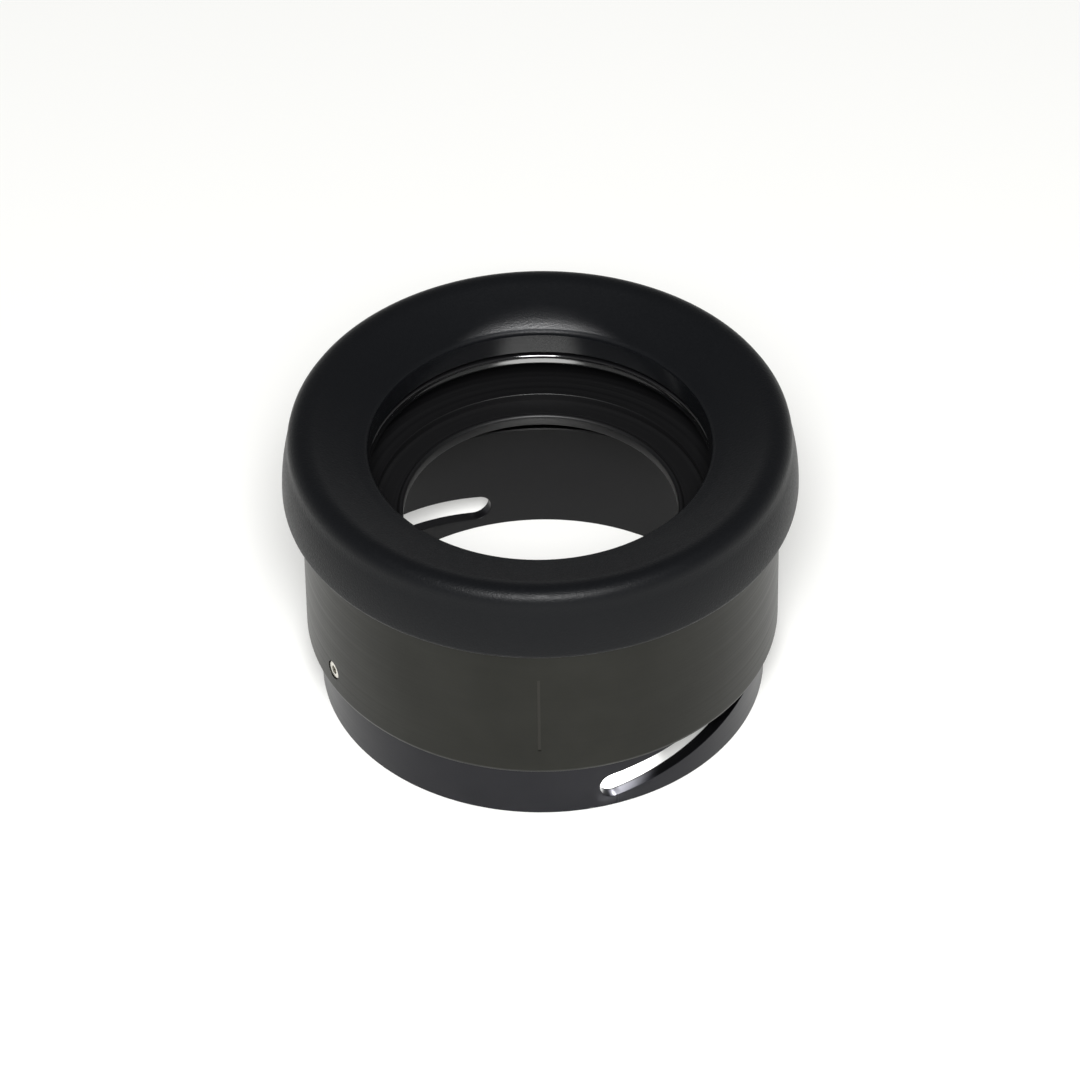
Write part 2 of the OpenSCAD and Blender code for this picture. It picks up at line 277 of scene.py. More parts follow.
def spread(tree, noise, low, high, reach=0.2):
    """Maps a noise that lies within a reach of a half to the range from low to high."""
    return add_node(tree, "ShaderNodeMapRange", Value=noise, From_Min=0.5 - reach,
                    From_Max=0.5 + reach, To_Min=low, To_Max=high)


def tinted(tree, colour, tint):
    """A colour multiplied by a tint that varies over the surface."""
    return add_node(tree, "ShaderNodeMix", {"data_type": "RGBA", "blend_type": "MULTIPLY"}, out=2,
                    _0=1.0, _6=list(colour), _7=tint)


def moulded_rubber(sizes, bore_r):
    """Moulded nitrile rubber: near black and matt, with the fine grain of a spark-eroded mould.

    The opening's wall is smooth, because a polished core pin forms it.
    """
    material, shader = new_material("moulded_rubber")
    tree = material.node_tree
    place = add_node(tree, "ShaderNodeTexCoord", out="Object")
    grain = add_node(tree, "ShaderNodeTexNoise", Vector=place, Scale=1 / sizes.grain, Detail=2.0)
    pits = add_node(tree, "ShaderNodeTexVoronoi", Vector=place, Scale=1 / (0.6 * sizes.grain))
    # A faint bloom, in patches some millimetres across, as handled rubber has
    bloom = add_node(tree, "ShaderNodeTexNoise", Vector=place, Scale=1 / BLOOM_PATCH, Detail=3.0)
    patch = add_node(tree, "ShaderNodeMath", {"operation": "MULTIPLY"}, _0=bloom, _1=grain)
    colour = add_node(tree, "ShaderNodeMix", {"data_type": "RGBA"}, out=2, _0=patch,
                      _6=list(sizes.rubber), _7=list(sizes.bloom))
    matt = spread(tree, grain, 0.35, 0.45)
    # 0 on the opening's wall, and 1 on the rest
    grained = add_node(tree, "ShaderNodeMapRange", Value=from_axis(tree, place),
                       From_Min=bore_r, From_Max=bore_r + sizes.rim_round / 3)
    roughness = add_node(tree, "ShaderNodeMix", _0=grained, _2=sizes.polish, _3=matt)
    height = add_node(tree, "ShaderNodeMath", {"operation": "MULTIPLY_ADD"},
                      _0=pits, _1=0.5, _2=grain)
    depth = add_node(tree, "ShaderNodeMath", {"operation": "MULTIPLY"}, _0=grained, _1=0.45)
    bump = add_node(tree, "ShaderNodeBump", Strength=depth, Distance=GRAIN_DEPTH, Height=height)
    wire(tree, shader, {"Base_Color": colour, "Roughness": roughness, "Normal": bump,
                        "IOR": RUBBER_IOR, "Specular_IOR_Level": 0.13})
    return material


def tool_line_height(tree, place, pitch):
    """Height of the fine lines that a lathe tool leaves round the Z axis."""
    rise = add_node(tree, "ShaderNodeSeparateXYZ", out="Z", Vector=place)
    section = add_node(tree, "ShaderNodeCombineXYZ", X=from_axis(tree, place), Z=rise)
    return add_node(tree, "ShaderNodeTexNoise", Vector=section, Scale=1 / pitch, Detail=2.0)


def anodised(name, colour, roughness, pitch, marked, mark_colour, painted):
    """Black anodised aluminium, turned and dyed: a dark satin metal with fine tool lines.

    Where marked(tree, place) gives 1 it has the mark's colour: matt paint, or else scratched metal.
    """
    material, shader = new_material(name)
    tree = material.node_tree
    place = add_node(tree, "ShaderNodeTexCoord", out="Object")
    lines = tool_line_height(tree, place, pitch)
    tooth = add_node(tree, "ShaderNodeTexNoise", Vector=place, Scale=1 / TOOTH, Detail=1.0)
    uneven = add_node(tree, "ShaderNodeTexNoise", Vector=place, Scale=1 / DYE_PATCH, Detail=3.0)
    dye = tinted(tree, colour, spread(tree, uneven, 0.9, 1.1))
    mark = marked(tree, place)
    colour = add_node(tree, "ShaderNodeMix", {"data_type": "RGBA"}, out=2,
                      _0=mark, _6=dye, _7=list(mark_colour))
    metallic = 1.0
    if painted:
        metallic = add_node(tree, "ShaderNodeMath", {"operation": "SUBTRACT"}, _0=1.0, _1=mark)
    rough = spread(tree, lines, roughness - 0.03, roughness + 0.03, reach=0.15)
    height = add_node(tree, "ShaderNodeMath", {"operation": "MULTIPLY_ADD"},
                      _0=tooth, _1=0.5, _2=lines)
    bump = add_node(tree, "ShaderNodeBump", Strength=0.15, Distance=LINE_DEPTH, Height=height)
    wire(tree, shader, {"Base_Color": colour, "Metallic": metallic, "Roughness": rough,
                        "Normal": bump, "Specular_IOR_Level": 0.15})
    return material


def black_coat(name, colour, roughness, ior, pitch):
    """Turned aluminium under a black skin: a glossy sealed oxide, or a matt paint."""
    material, shader = new_material(name)
    tree = material.node_tree
    place = add_node(tree, "ShaderNodeTexCoord", out="Object")
    lines = tool_line_height(tree, place, pitch)
    rough = spread(tree, lines, 0.8 * roughness, 1.2 * roughness, reach=0.15)
    dye = tinted(tree, colour, spread(tree, lines, 0.8, 1.2, reach=0.5))
    bump = add_node(tree, "ShaderNodeBump", Strength=0.1, Distance=LINE_DEPTH, Height=lines)
    wire(tree, shader, {"Base_Color": dye, "Roughness": rough, "Normal": bump, "IOR": ior})
    return material


def turned_steel(colour):
    """Plain turned steel: bright, with fine facing lines."""
    material, shader = new_material("turned_steel")
    tree = material.node_tree
    place = add_node(tree, "ShaderNodeTexCoord", out="Object")
    lines = add_node(tree, "ShaderNodeTexNoise", Vector=place, Scale=1 / FACING_LINES, Detail=2.0)
    rough = spread(tree, lines, 0.22, 0.36)
    bump = add_node(tree, "ShaderNodeBump", Strength=0.2, Distance=LINE_DEPTH, Height=lines)
    wire(tree, shader, {"Base_Color": list(colour), "Metallic": 1.0, "Roughness": rough,
                        "Normal": bump})
    return material


def waxy_plastic(name, colour):
    """Turned nylon or PTFE: waxy and white, a little cloudy, with a soft sheen."""
    material, shader = new_material(name)
    tree = material.node_tree
    place = add_node(tree, "ShaderNodeTexCoord", out="Object")
    cloud = add_node(tree, "ShaderNodeTexNoise", Vector=place, Scale=1 / PLASTIC_CLOUD, Detail=2.0)
    dye = tinted(tree, colour, spread(tree, cloud, 0.9, 1.05))
    rough = spread(tree, cloud, 0.34, 0.46, reach=0.5)
    bump = add_node(tree, "ShaderNodeBump", Strength=0.1, Distance=2 * LINE_DEPTH, Height=cloud)
    wire(tree, shader, {"Base_Color": dye, "Roughness": rough, "Normal": bump,
                        "IOR": NYLON_IOR})
    return material


def opal_floor(sizes):
    """Opal acrylic of a light table: matt white, and lit softly from below."""
    material, shader = new_material("opal_acrylic")
    tree = material.node_tree
    place = add_node(tree, "ShaderNodeTexCoord", out="Object")
    cloud = add_node(tree, "ShaderNodeTexNoise", Vector=place, Scale=1 / FLOOR_PATCH, Detail=2.0)
    milk = tinted(tree, sizes.floor, spread(tree, cloud, 0.985, 1.0, reach=0.5))
    wire(tree, shader, {"Base_Color": milk, "Roughness": 0.75, "Emission_Color": milk,
                        "Emission_Strength": sizes.glow})
    return material


# ------------------------------------------------------------------ modelling helpers

def turn_profile(corners):
    """Turns a closed outline about the Z axis.

    A corner is (radius, height), or (radius, height, rounding).
    """
    bm = bmesh.new()
    verts = [bm.verts.new((corner[0], 0, corner[1])) for corner in corners]
    bm.faces.new(verts)
    for vert, corner in zip(verts, corners):
        if len(corner) == 3:
            bmesh.ops.bevel(bm, geom=[vert], affect="VERTICES", offset=corner[2],
                            offset_type="OFFSET", segments=ROUND_STEPS, profile=0.5, material=-1)
    bmesh.ops.delete(bm, geom=list(bm.faces), context="FACES_ONLY")
    bmesh.ops.spin(bm, geom=list(bm.verts) + list(bm.edges), cent=(0, 0, 0), axis=(0, 0, 1),
                   angle=2 * math.pi, steps=TURN_STEPS, use_merge=True)
    bmesh.ops.recalc_face_normals(bm, faces=bm.faces)
    return bm


def bowed(start, end, bow):
    """Corners along a side between its ends, which stands out by bow at its middle."""
    out, up = end[0] - start[0], end[1] - start[1]
    shares = [step / BOW_STEPS for step in range(1, BOW_STEPS)]
    return [(start[0] + out * k + 4 * bow * k * (1 - k), start[1] + up * k) for k in shares]


def link_piece(name, bm):
    """Puts a bmesh in the scene as an object, and frees it."""
    mesh = bpy.data.meshes.new(name)
    bm.to_mesh(mesh)
    bm.free()
    piece = bpy.data.objects.new(name, mesh)
    bpy.context.scene.collection.objects.link(piece)
    return piece


def cut_away(bm, *cutters):
    """Cuts closed shapes out of a closed shape, and returns what is left."""
    for cutter in cutters:
        piece = link_piece("work", bm)
        tool = link_piece("tool", cutter)
        cut = piece.modifiers.new("cut", "BOOLEAN")
        cut.operation = "DIFFERENCE"
        cut.solver = "EXACT"
        cut.object = tool
        bm = bmesh.new()
        bm.from_object(piece, bpy.context.evaluated_depsgraph_get())
        for used in (piece, tool):
            mesh = used.data
            bpy.data.objects.remove(used)
            bpy.data.meshes.remove(mesh)
    return bm


def box_cutter(size, centre, bearing=0.0):
    """A block of the given size about a point, turned about the Z axis to a bearing."""
    bm = bmesh.new()
    bmesh.ops.create_cube(bm, size=1.0)
    bmesh.ops.scale(bm, vec=size, verts=bm.verts)
    bmesh.ops.translate(bm, vec=centre, verts=bm.verts)
    bmesh.ops.rotate(bm, cent=(0, 0, 0), matrix=Matrix.Rotation(bearing, 3, "Z"), verts=bm.verts)
    return bm


def on_radius(bm, bearing, radius, height):
    """Turns a shape made along Z outwards, to start at a bearing, a radius and a height."""
    place = (Matrix.Rotation(bearing, 4, "Z") @ Matrix.Translation((radius, 0, height))
             @ Matrix.Rotation(math.pi / 2, 4, "Y"))
    bmesh.ops.transform(bm, matrix=place, verts=bm.verts)
    return bm


def rod(radius, depth, segments=64):
    """A closed rod along Z that starts at the origin."""
    bm = bmesh.new()
    bmesh.ops.create_cone(bm, cap_ends=True, segments=segments, radius1=radius, radius2=radius,
                          depth=depth)
    bmesh.ops.translate(bm, vec=(0, 0, depth / 2), verts=bm.verts)
    return bm


def finish_piece(node, bm, material, body):
    """Makes a node's finished piece: smooth faces, sharp corners, material and body, and hides the
    node's CAD part.
    """
    bmesh.ops.remove_doubles(bm, verts=bm.verts, dist=MERGE / 2)
    bmesh.ops.recalc_face_normals(bm, faces=bm.faces)
    for face in bm.faces:
        face.smooth = True
    for edge in bm.edges:
        edge.smooth = edge.calc_face_angle(math.pi) < SHARP
    piece = link_piece(node + "_visual", bm)
    piece.data.materials.append(material)
    weigh = piece.modifiers.new("even_normals", "WEIGHTED_NORMAL")
    weigh.keep_sharp = True
    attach(piece, body)
    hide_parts(node)


def screw_place(side):
    """Bearing and height of the left or right guide screw."""
    low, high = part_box("guide_screw_" + side)
    middle = (low + high) / 2
    return math.atan2(middle.y, middle.x), middle.z


# ------------------------------------------------------------------ pieces

class EYECUP_OT_eye_ring(bpy.types.Operator):
    """Models the rubber eye ring with its dished face, round shoulder and hooked skirt"""
    bl_idname = "eyecup.eye_ring"
    bl_label = "Eye Ring"

    def execute(self, context):
        sizes = context.scene.eyecup_ring
        low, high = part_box("eye_ring")
        sleeve_r, sleeve_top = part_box("outer_sleeve")[1].x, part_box("outer_sleeve")[1].z
        carrier_r, carrier_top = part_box("carrier_ring")[1].x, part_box("carrier_ring")[1].z
        low_r = high.x
        top_r = low_r - sizes.flare
        open_r = top_r - sizes.face_w
        rim_z = high.z - sizes.dish_depth
        groove_r = open_r + sizes.groove_depth
        groove_z = carrier_top + sizes.groove_h
        hem = (low_r, low.z + sizes.skirt_round)
        brow = (top_r, high.z - sizes.shoulder_round)
        crest = (top_r - sizes.shoulder_round, high.z)
        corners = [
            (groove_r, carrier_top),
            (carrier_r + sizes.gap, carrier_top),
            (carrier_r + sizes.gap, sleeve_top - sizes.gap),
            (sleeve_r + sizes.gap, sleeve_top - sizes.gap),
            (sleeve_r + sizes.gap, low.z, sizes.hem_round),
            (low_r, low.z, sizes.skirt_round),
            *bowed(hem, brow, sizes.bulge),
            (top_r, high.z, sizes.shoulder_round),
            *bowed(crest, (open_r + sizes.rim_round, rim_z), sizes.bulge),
            (open_r, rim_z, sizes.rim_round),
            (open_r, groove_z, sizes.hem_round),
            (groove_r, groove_z, sizes.hem_round),
        ]
        material = moulded_rubber(sizes, open_r)
        finish_piece("eye_ring", turn_profile(corners), material, "cup")
        return {"FINISHED"}


class EYECUP_OT_outer_sleeve(bpy.types.Operator):
    """Models the turned outer sleeve with its index line and the guide screws' holes"""
    bl_idname = "eyecup.outer_sleeve"
    bl_label = "Outer Sleeve"

    def execute(self, context):
        sizes = context.scene.eyecup_metal
        guides = context.scene.eyecup_guides
        low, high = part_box("outer_sleeve")
        glide_low, glide_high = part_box("glide_ring")
        sleeve_r = high.x
        bore_r = sleeve_r - sizes.sleeve_wall
        seat_r = sleeve_r - sizes.seat_wall
        ledge_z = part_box("baffle_ring")[0].z
        corners = [
            (bore_r, low.z, sizes.edge),
            (sleeve_r - sizes.chamfer_w, low.z, sizes.edge),
            (sleeve_r, low.z + sizes.chamfer_h, sizes.edge),
            (sleeve_r, high.z, sizes.edge),
            (seat_r, high.z, sizes.edge),
            (seat_r, ledge_z),
            (bore_r, ledge_z),
            (bore_r, glide_high.z + sizes.glide_gap / 2),
            (glide_high.x + sizes.glide_gap, glide_high.z + sizes.glide_gap / 2),
            (glide_high.x + sizes.glide_gap, glide_low.z - sizes.glide_gap / 2),
            (bore_r, glide_low.z - sizes.glide_gap / 2),
        ]
        holes = []
        for side in ("left", "right"):
            bearing, screw_z = screw_place(side)
            hole = rod(guides.screw_d / 2 + guides.screw_gap, sizes.sleeve_wall + 2 * OVER)
            holes.append(on_radius(hole, bearing, bore_r - OVER, screw_z))
        index_z = low.z + sizes.index_from + sizes.index_h / 2
        index = box_cutter((sizes.index_w, OVER, sizes.index_h),
                           (-sizes.index_side, -sleeve_r + sizes.index_depth - OVER / 2, index_z))
        bm = cut_away(turn_profile(corners), *holes, index)

        def scribed_line(tree, place):
            """1 on the scribed line, and 0 elsewhere on the sleeve."""
            deep = add_node(tree, "ShaderNodeMath", {"operation": "LESS_THAN"},
                            _0=from_axis(tree, place), _1=sleeve_r - sizes.index_depth / 2)
            for axis, middle, reach in (("X", -sizes.index_side, sizes.index_w / 2),
                                        ("Y", -sleeve_r, 2 * sizes.index_depth),
                                        ("Z", index_z, sizes.index_h / 2)):
                along = add_node(tree, "ShaderNodeSeparateXYZ", out=axis, Vector=place)
                near = add_node(tree, "ShaderNodeMath", {"operation": "COMPARE"},
                                _0=along, _1=middle, _2=reach)
                deep = add_node(tree, "ShaderNodeMath", {"operation": "MULTIPLY"}, _0=deep, _1=near)
            return deep

        material = anodised("satin_black_anodised_sleeve", sizes.sleeve_black, sizes.sleeve_rough,
                            sizes.tool_lines, scribed_line, sizes.scribed, painted=False)
        finish_piece("outer_sleeve", bm, material, "cup")
        return {"FINISHED"}


def slot_outline(bm, slot_length, width, lean, start):
    """Draws a flat slot's outline in the XZ plane: round ends, leaning up from its start."""
    verts = bmesh.ops.create_circle(bm, segments=SLOT_END_STEPS, radius=width / 2)["verts"]
    # Half a step of turn leaves no vertex on the middle line, so the ends part cleanly
    bmesh.ops.rotate(bm, cent=(0, 0, 0), matrix=Matrix.Rotation(math.pi / SLOT_END_STEPS, 3, "Z"),
                     verts=verts)
    bmesh.ops.rotate(bm, cent=(0, 0, 0), matrix=Matrix.Rotation(math.pi / 2, 3, "X"), verts=verts)
    bmesh.ops.translate(bm, vec=(slot_length, 0, 0), verts=[v for v in verts if v.co.x > 0])
    bmesh.ops.rotate(bm, cent=(0, 0, 0), matrix=Matrix.Rotation(-lean, 3, "Y"), verts=verts)
    bmesh.ops.translate(bm, vec=start, verts=verts)


def slotted_strip(strip_w, strip_h, wall, slots, edge, slot_edge):
    """A flat strip with slots, its inner face on the XZ plane, to be bent round into a tube."""
    bm = bmesh.new()
    bmesh.ops.create_grid(bm, x_segments=1, y_segments=1, size=0.5)
    bmesh.ops.scale(bm, vec=(strip_w, strip_h, 1), verts=bm.verts)
    bmesh.ops.translate(bm, vec=(strip_w / 2, strip_h / 2, 0), verts=bm.verts)
    bmesh.ops.rotate(bm, cent=(0, 0, 0), matrix=Matrix.Rotation(math.pi / 2, 3, "X"),
                     verts=bm.verts)
    bmesh.ops.delete(bm, geom=list(bm.faces), context="FACES_ONLY")
    for slot in slots:
        slot_outline(bm, *slot)
    bmesh.ops.triangle_fill(bm, edges=bm.edges, use_beauty=True)
    grown = bmesh.ops.extrude_face_region(bm, geom=list(bm.faces), use_keep_orig=True)
    outer = [item for item in grown["geom"] if isinstance(item, bmesh.types.BMVert)]
    bmesh.ops.translate(bm, vec=(0, -wall, 0), verts=outer)
    bmesh.ops.recalc_face_normals(bm, faces=bm.faces)

    def lies_at(item, axis, *ends):
        """Whether all of an edge or face lies in a plane across an axis, at one of the ends."""
        return any(all(abs(v.co[axis] - end) < NEAR_END for v in item.verts) for end in ends)

    slot_edges = [e for e in bm.edges if e.calc_face_angle(0.0) > math.pi / 4
                  and lies_at(e, 1, 0, -wall)
                  and not (lies_at(e, 0, 0, strip_w) or lies_at(e, 2, 0, strip_h))]
    bmesh.ops.bevel(bm, geom=slot_edges, affect="EDGES", offset=slot_edge, offset_type="OFFSET",
                    segments=SLOT_EDGE_STEPS, profile=0.5, material=-1)
    # The chamfers on the long edges: a line of vertices along each, and the edges drawn in
    for level in (edge, strip_h - edge):
        bmesh.ops.bisect_plane(bm, geom=list(bm.verts) + list(bm.edges) + list(bm.faces),
                               dist=NEAR_CUT, plane_co=(0, 0, level), plane_no=(0, 0, 1))
    for vert in bm.verts:
        if not edge / 2 < vert.co.z < strip_h - edge / 2:
            vert.co.y += edge if vert.co.y < -wall / 2 else -edge
    seam_faces = [f for f in bm.faces if lies_at(f, 0, 0, strip_w)]
    bmesh.ops.delete(bm, geom=seam_faces, context="FACES_ONLY")
    return bm


def bend_to_tube(bm, strip_w, mid_r, seam):
    """Bends a flat strip round the Z axis from the seam's bearing, its XZ plane at mid_r."""
    for step in range(1, TURN_STEPS):
        bmesh.ops.bisect_plane(bm, geom=list(bm.verts) + list(bm.edges) + list(bm.faces),
                               dist=NEAR_CUT, plane_co=(strip_w * step / TURN_STEPS, 0, 0),
                               plane_no=(1, 0, 0))
    for vert in bm.verts:
        bearing = seam + 2 * math.pi * vert.co.x / strip_w
        radius = mid_r - vert.co.y
        vert.co = (radius * math.cos(bearing), radius * math.sin(bearing), vert.co.z)
    bmesh.ops.remove_doubles(bm, verts=bm.verts, dist=MERGE)
    bmesh.ops.recalc_face_normals(bm, faces=bm.faces)
    return bm


class EYECUP_OT_helix_tube(bpy.types.Operator):
    """Models the fixed tube with its two helical slots and the witness line below one of them"""
    bl_idname = "eyecup.helix_tube"
    bl_label = "Helix Tube"

    def execute(self, context):
        sizes = context.scene.eyecup_metal
        guides = context.scene.eyecup_guides
        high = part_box("helix_tube")[1]
        tube_r = high.x
        mid_r = tube_r - sizes.tube_wall / 2
        joints = {joint["name"]: joint for joint in frame["joints"]}
        lift = -joints["cup_rise"]["range_m"][0]
        twist = -math.radians(joints["cup_twist"]["range_deg"][0])
        # A slot runs from the guide screw's lowest place up to its place at rest
        slot_bearing = screw_place("left")[0] - twist
        lean = math.atan2(lift, twist * mid_r)
        run = math.hypot(lift, twist * mid_r) + 2 * guides.overrun
        seam = slot_bearing - math.pi / 4
        strip_w = 2 * math.pi * mid_r
        slots = []
        for turn in (0, math.pi):
            from_x = (slot_bearing + turn - seam) * mid_r - guides.overrun * math.cos(lean)
            from_z = guides.slot_low_z - guides.overrun * math.sin(lean)
            slots.append((run, guides.slot_w, lean, (from_x, 0, from_z)))
        bm = slotted_strip(strip_w, high.z, sizes.tube_wall, slots, sizes.tube_edge,
                           guides.slot_edge)
        bmesh.ops.translate(bm, vec=(0, sizes.tube_wall / 2, 0), verts=bm.verts)
        bm = bend_to_tube(bm, strip_w, mid_r, seam)
        # The witness line runs from just below the tube's foot up into the slot
        witness = box_cutter((2 * guides.witness_depth, guides.witness_w, guides.slot_low_z),
                             (tube_r, 0, guides.slot_low_z / 2 - OVER / 10),
                             slot_bearing + math.pi)
        bm = cut_away(bm, witness)
        bore_r = tube_r - sizes.tube_wall + 2 * sizes.tube_edge

        def painted_bore(tree, place):
            """1 on the tube's bore, and 0 outside it."""
            return add_node(tree, "ShaderNodeMath", {"operation": "LESS_THAN"},
                            _0=from_axis(tree, place), _1=bore_r)

        material = anodised("satin_black_anodised_tube", sizes.tube_black, sizes.tube_rough,
                            sizes.tool_lines, painted_bore, sizes.bore_black, painted=True)
        finish_piece("helix_tube", bm, material, "tube")
        return {"FINISHED"}


class EYECUP_OT_carrier_ring(bpy.types.Operator):
    """Models the flanged carrier ring that holds the rubber"""
    bl_idname = "eyecup.carrier_ring"
    bl_label = "Carrier Ring"

    def execute(self, context):
        sizes = context.scene.eyecup_metal
        low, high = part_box("carrier_ring")
        flange_z = high.z - sizes.carrier_t
        seated_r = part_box("baffle_ring")[1].x
        inner_r = high.x - sizes.carrier_w
        lip_round = sizes.carrier_t / 4
        corners = [
            (inner_r, flange_z, lip_round),
            (seated_r - sizes.neck_wall, flange_z),
            (seated_r - sizes.neck_wall, low.z, sizes.edge),
            (seated_r, low.z, sizes.edge),
            (seated_r, flange_z),
            (high.x, flange_z, sizes.edge),
            (high.x, high.z, sizes.edge),
            (inner_r, high.z, lip_round),
        ]
        material = black_coat("gloss_black_oxide", sizes.carrier_black, sizes.carrier_rough,
                              OXIDE_IOR, sizes.tool_lines)
        finish_piece("carrier_ring", turn_profile(corners), material, "cup")
        return {"FINISHED"}


class EYECUP_OT_baffle(bpy.types.Operator):
    """Models the baffle with its rounded lip, and the lock ring with its spanner notches"""
    bl_idname = "eyecup.baffle"
    bl_label = "Baffle"

    def execute(self, context):
        sizes = context.scene.eyecup_metal
        low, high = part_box("baffle_ring")
        lock_low, lock_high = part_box("baffle_lock_ring")
        rim_r = high.x
        sight_r = rim_r - sizes.baffle_w
        lock_r = rim_r - sizes.lock_w
        rim_z = lock_low.z
        lip_round = sizes.lip_w * HALF_ROUND
        corners = [
            (sight_r, low.z, sizes.edge),
            (rim_r, low.z, sizes.edge),
            (rim_r, rim_z),
            (lock_r, rim_z),
            (sight_r + 2 * sizes.lip_w, rim_z - sizes.lip_h),
            (sight_r + sizes.lip_w, rim_z - sizes.lip_h),
            (sight_r + sizes.lip_w, high.z, lip_round),
            (sight_r, high.z, lip_round),
        ]
        material = black_coat("matt_black_paint", sizes.baffle_black, sizes.baffle_rough,
                              PAINT_IOR, sizes.tool_lines)
        finish_piece("baffle_ring", turn_profile(corners), material, "cup")
        ring = turn_profile([
            (lock_r, lock_low.z),
            (rim_r, lock_low.z),
            (rim_r, lock_high.z, sizes.edge),
            (lock_r, lock_high.z, sizes.edge),
        ])
        notch_len = OVER + sizes.notch_depth
        notch_size = (notch_len, sizes.notch_w, 2 * OVER + lock_high.z - lock_low.z)
        notch_at = (lock_r - OVER + notch_len / 2, 0, (lock_low.z + lock_high.z) / 2)
        notches = [box_cutter(notch_size, notch_at, bearing) for bearing in (0, math.pi)]
        bm = cut_away(ring, *notches)
        finish_piece("baffle_lock_ring", bm, material, "cup")
        return {"FINISHED"}


class EYECUP_OT_guides(bpy.types.Operator):
    """Models the guide screws and their bushes, and finishes the glide ring"""
    bl_idname = "eyecup.guides"
    bl_label = "Guides"

    def execute(self, context):
        sizes = context.scene.eyecup_guides
        metal = context.scene.eyecup_metal
        steel = turned_steel(sizes.steel)
        nylon = waxy_plastic("turned_nylon", sizes.nylon)
        sleeve_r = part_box("outer_sleeve")[1].x
        in_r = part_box("helix_tube")[1].x - metal.tube_wall + sizes.clear_in
        out_r = sleeve_r - sizes.screw_sunk
        bush_out = sleeve_r - metal.sleeve_wall - sizes.clear_out
        for side in ("left", "right"):
            bearing, screw_z = screw_place(side)
            bush_low, bush_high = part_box("guide_bush_" + side)
            screw = turn_profile([
                (0, 0),
                (sizes.screw_d / 2, 0, sizes.screw_edge),
                (sizes.screw_d / 2, out_r - in_r, sizes.screw_edge),
                (0, out_r - in_r),
            ])
            bmesh.ops.remove_doubles(screw, verts=screw.verts, dist=MERGE)
            socket = rod(sizes.socket_d / 2, sizes.socket_depth + OVER, segments=6)
            bmesh.ops.translate(socket, vec=(0, 0, out_r - in_r - sizes.socket_depth),
                                verts=socket.verts)
            bm = on_radius(cut_away(screw, socket), bearing, in_r, screw_z)
            finish_piece("guide_screw_" + side, bm, steel, "cup")
            bush_r = (bush_high.z - bush_low.z) / 2
            bush = turn_profile([
                (sizes.screw_d / 2 + sizes.screw_gap, 0),
                (bush_r, 0, sizes.bush_edge),
                (bush_r, bush_out - in_r, sizes.bush_edge),
                (sizes.screw_d / 2 + sizes.screw_gap, bush_out - in_r),
            ])
            bm = on_radius(bush, bearing, in_r, screw_z)
            finish_piece("guide_bush_" + side, bm, nylon, "cup")
        glide = frame["nodes"]["glide_ring"]
        glide.data.materials.clear()
        glide.data.materials.append(waxy_plastic("turned_ptfe", sizes.ptfe))
        return {"FINISHED"}


# ------------------------------------------------------------------ stage

def look_at(item, target, roll=0.0):
    """Turns a camera or a light towards a point."""
    turn = (target - item.location).to_track_quat("-Z", "Y").to_matrix()
    item.rotation_euler = (turn @ Matrix.Rotation(roll, 3, "Z")).to_euler()


def add_lamp(name, kind, power, distance, rise, target):
    """A lamp that faces a target.

    Its rise is an angle up from the horizon at the back, or at the front if it is negative.
    """
    light = bpy.data.lights.new(name, kind)
    light.energy = power
    lamp = bpy.data.objects.new(name, light)
    bpy.context.scene.collection.objects.link(lamp)
    side = 1 if rise > 0 else -1
    lamp.location = target + distance * Vector((0, side * math.cos(rise), abs(math.sin(rise))))
    look_at(lamp, target)
    return lamp


def add_surroundings(sizes):
    """Light from all round: white low down, and dim overhead."""
    world = bpy.data.worlds.new("light_tent")
    bpy.context.scene.world = world
    world.use_nodes = True
    tree = world.node_tree
    direction = add_node(tree, "ShaderNodeTexCoord", out="Generated")
    rise = add_node(tree, "ShaderNodeSeparateXYZ", out="Z", Vector=direction)
    strength = add_node(tree, "ShaderNodeMapRange", {"interpolation_type": "SMOOTHSTEP"},
                        Value=rise, From_Min=0.0, From_Max=sizes.fade,
                        To_Min=sizes.horizon, To_Max=sizes.overhead)
    wire(tree, tree.nodes["Background"], {"Color": (1.0, 1.0, 1.0, 1.0), "Strength": strength})


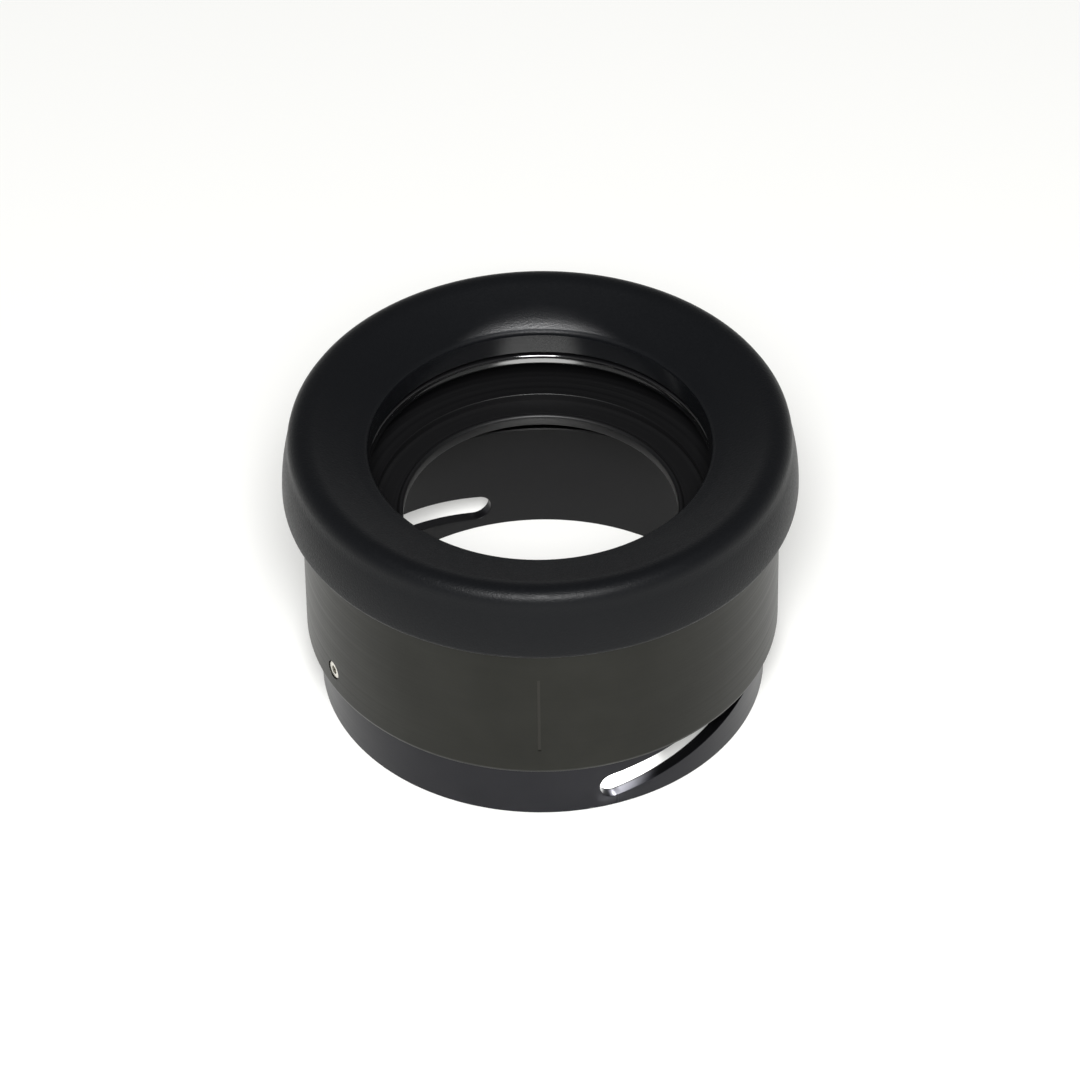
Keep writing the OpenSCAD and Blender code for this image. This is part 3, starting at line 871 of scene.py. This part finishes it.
class EYECUP_OT_stage(bpy.types.Operator):
    """Sets up the floor, the soft lights and the camera"""
    bl_idname = "eyecup.stage"
    bl_label = "Stage"

    def execute(self, context):
        sizes = context.scene.eyecup_stage
        scene = context.scene
        # Plain display transform, so that the pale floor stays pale and blacks keep their depth
        scene.view_settings.view_transform = "Standard"
        bm = bmesh.new()
        bmesh.ops.create_grid(bm, x_segments=1, y_segments=1, size=sizes.floor_w / 2)
        floor = link_piece("floor", bm)
        floor.data.materials.append(opal_floor(sizes))
        add_surroundings(sizes)
        target = Vector((sizes.aim_x, 0, sizes.aim_z))
        key = add_lamp("key_softbox", "AREA", sizes.key, sizes.light_far, -sizes.key_rise, target)
        key.data.size = sizes.key_w
        # The spot passes the sight hole and lights the floor at the front of the tube
        patch = Vector((0, -sizes.pin_aim, 0))
        sight = Vector((0, 0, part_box("baffle_ring")[1].z)) - patch
        rise = math.atan2(sight.z, sight.y)
        pin = add_lamp("pin_spot", "SPOT", sizes.pin, sizes.light_far, rise, patch)
        pin.data.spot_size = 2 * math.atan(sizes.pin_w / 2 / sizes.light_far)
        pin.data.spot_blend = sizes.pin_blend
        pin.data.shadow_soft_size = sizes.pin_soft
        camera = bpy.data.cameras.new("camera")
        camera.sensor_width = SENSOR_W
        camera.lens = camera.sensor_width * sizes.distance / sizes.view_w
        camera.clip_start = SEEN_FROM
        camera.clip_end = SEEN_TO
        holder = bpy.data.objects.new("camera", camera)
        scene.collection.objects.link(holder)
        holder.location = target + sizes.distance * Vector(
            (0, -math.cos(sizes.elevation), math.sin(sizes.elevation)))
        look_at(holder, target, sizes.roll)
        scene.camera = holder
        return {"FINISHED"}


# ------------------------------------------------------------------ add-on

PIECES = [EYECUP_OT_stage, EYECUP_OT_eye_ring, EYECUP_OT_carrier_ring, EYECUP_OT_outer_sleeve,
          EYECUP_OT_helix_tube, EYECUP_OT_baffle, EYECUP_OT_guides]


class EYECUP_PT_sidebar(bpy.types.Panel):
    """Lists the eyecup's pieces with their sizes and colours"""
    bl_idname = "EYECUP_PT_sidebar"
    bl_label = "Twist-up Eyecup"
    bl_space_type = "VIEW_3D"
    bl_region_type = "UI"
    bl_category = "Eyecup"

    def draw(self, context):
        for operator in PIECES:
            self.layout.operator(operator.bl_idname)
        for name, group in GROUPS.items():
            box = self.layout.box()
            for size in group.__annotations__:
                box.prop(getattr(context.scene, name), size)


CLASSES = [*GROUPS.values(), *PIECES, EYECUP_PT_sidebar]


def register():
    for cls in CLASSES:
        bpy.utils.register_class(cls)
    for name, group in GROUPS.items():
        setattr(bpy.types.Scene, name, bpy.props.PointerProperty(type=group))


def unregister():
    for name in GROUPS:
        delattr(bpy.types.Scene, name)
    for cls in reversed(CLASSES):
        bpy.utils.unregister_class(cls)


def main():
    register()
    bpy.ops.eyecup.stage()
    bpy.ops.eyecup.eye_ring()
    bpy.ops.eyecup.carrier_ring()
    bpy.ops.eyecup.outer_sleeve()
    bpy.ops.eyecup.helix_tube()
    bpy.ops.eyecup.baffle()
    bpy.ops.eyecup.guides()


if __name__ == "__main__":
    main()
